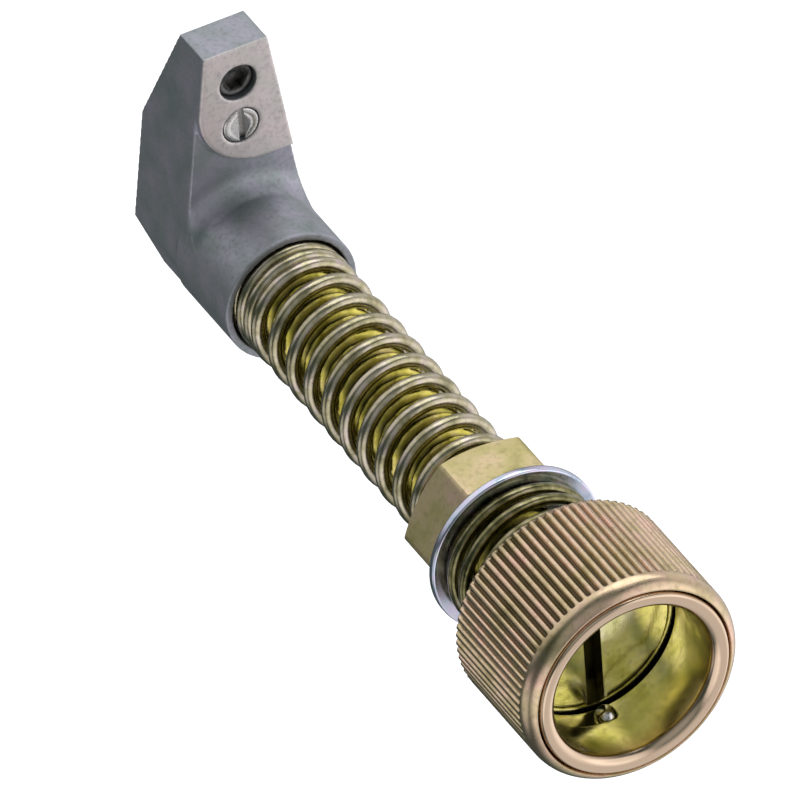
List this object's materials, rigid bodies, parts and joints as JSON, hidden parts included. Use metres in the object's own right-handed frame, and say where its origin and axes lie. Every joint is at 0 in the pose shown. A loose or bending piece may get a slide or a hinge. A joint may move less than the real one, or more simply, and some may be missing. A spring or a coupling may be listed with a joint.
{
  "type": "glass cutter head",
  "caption": "Sprung glass cutting head on a threaded stem with a pressure nut, a knurled quick release sleeve and a round handle socket.",
  "frame": {"origin": "middle of the handle socket's mouth, where the straight wall of its bore starts", "axes": "+X along the stem from the socket's mouth to the cutting head, +Z the way the head block stands up, +Y across the block"},
  "size_m": [0.115, 0.03, 0.0474],
  "materials": {
    "yellow_zinc": "yellow passivated zinc plate on turned steel",
    "sleeve_metal": "straight knurled, pinkish yellow passivated zinc plate",
    "nut_metal": "yellow passivated zinc plate on a hexagon nut",
    "spring_steel": "yellow passivated spring wire",
    "silver_zinc": "blue white zinc plate",
    "grey_steel": "fine cast and milled, matt grey",
    "dark_steel": "black oxide",
    "bright_steel": "ground",
    "bronze": "sintered bronze",
    "carbide": "ground carbide"
  },
  "bodies": {
    "stem": {"stem": "yellow_zinc", "socket_body": "yellow_zinc", "slotted_plug": "yellow_zinc", "retaining_ring": "dark_steel", "end_washer": "silver_zinc", "stem_end_screw": "dark_steel"},
    "head": {"head_block": "grey_steel", "guide_bush": "bronze", "spring_seat": "silver_zinc", "key_screw": "dark_steel", "carrier_screw": "dark_steel", "slotted_screw": "bright_steel", "wheel_carrier": "grey_steel", "wheel_axle": "bright_steel"},
    "wheel": {"cutting_wheel": "carbide"},
    "washer": {"adjuster_washer": "silver_zinc", "long_spring": "spring_steel", "short_spring": "spring_steel"},
    "nut": {"adjuster_nut": "nut_metal"},
    "thrust": {"thrust_ring": "silver_zinc"},
    "sleeve": {"knurled_sleeve": "sleeve_metal"},
    "ball_1": {"locking_ball_1": "bright_steel"},
    "ball_2": {"locking_ball_2": "bright_steel"},
    "ball_3": {"locking_ball_3": "bright_steel"}
  },
  "joints": [
    {"name": "head_slide", "type": "slide", "parent": "stem", "child": "head", "axis": [-1, 0, 0], "range_m": [0, 0.004], "stiffness_N_per_m": 3000, "springref_m": -0.008, "deforming": ["long_spring"]},
    {"name": "wheel_spin", "type": "hinge", "parent": "head", "child": "wheel", "pos_m": [0.10928, 0, 0.02442], "axis": [0, 1, 0], "continuous": true},
    {"name": "washer_travel", "type": "slide", "parent": "stem", "child": "washer", "axis": [1, 0, 0], "range_m": [-0.00175, 0.00175], "deforming": ["long_spring", "short_spring"]},
    {"name": "nut_turn", "type": "hinge", "parent": "washer", "child": "nut", "pos_m": [0.0354, 0, 0], "axis": [1, 0, 0], "range_deg": [-360, 360]},
    {"name": "sleeve_slide", "type": "slide", "parent": "stem", "child": "thrust", "axis": [1, 0, 0], "range_m": [0, 0.0025], "stiffness_N_per_m": 1500, "springref_m": -0.004, "deforming": ["short_spring"]},
    {"name": "sleeve_turn", "type": "hinge", "parent": "thrust", "child": "sleeve", "pos_m": [0.009, 0, 0], "axis": [1, 0, 0], "continuous": true},
    {"name": "ball_1_lift", "type": "slide", "parent": "stem", "child": "ball_1", "axis": [0, 0, -1], "range_m": [0, 0.0005]},
    {"name": "ball_2_lift", "type": "slide", "parent": "stem", "child": "ball_2", "axis": [0, 0.866, 0.5], "range_m": [0, 0.0005]},
    {"name": "ball_3_lift", "type": "slide", "parent": "stem", "child": "ball_3", "axis": [0, -0.866, 0.5], "range_m": [0, 0.0005]}
  ],
  "couplings": [
    {"joint": "nut_turn", "follows": "washer_travel", "rad_per_m": 3590.4},
    {"joint": "ball_1_lift", "follows": "sleeve_slide", "ratio": 0.175},
    {"joint": "ball_2_lift", "follows": "sleeve_slide", "ratio": 0.175},
    {"joint": "ball_3_lift", "follows": "sleeve_slide", "ratio": 0.175}
  ]
}
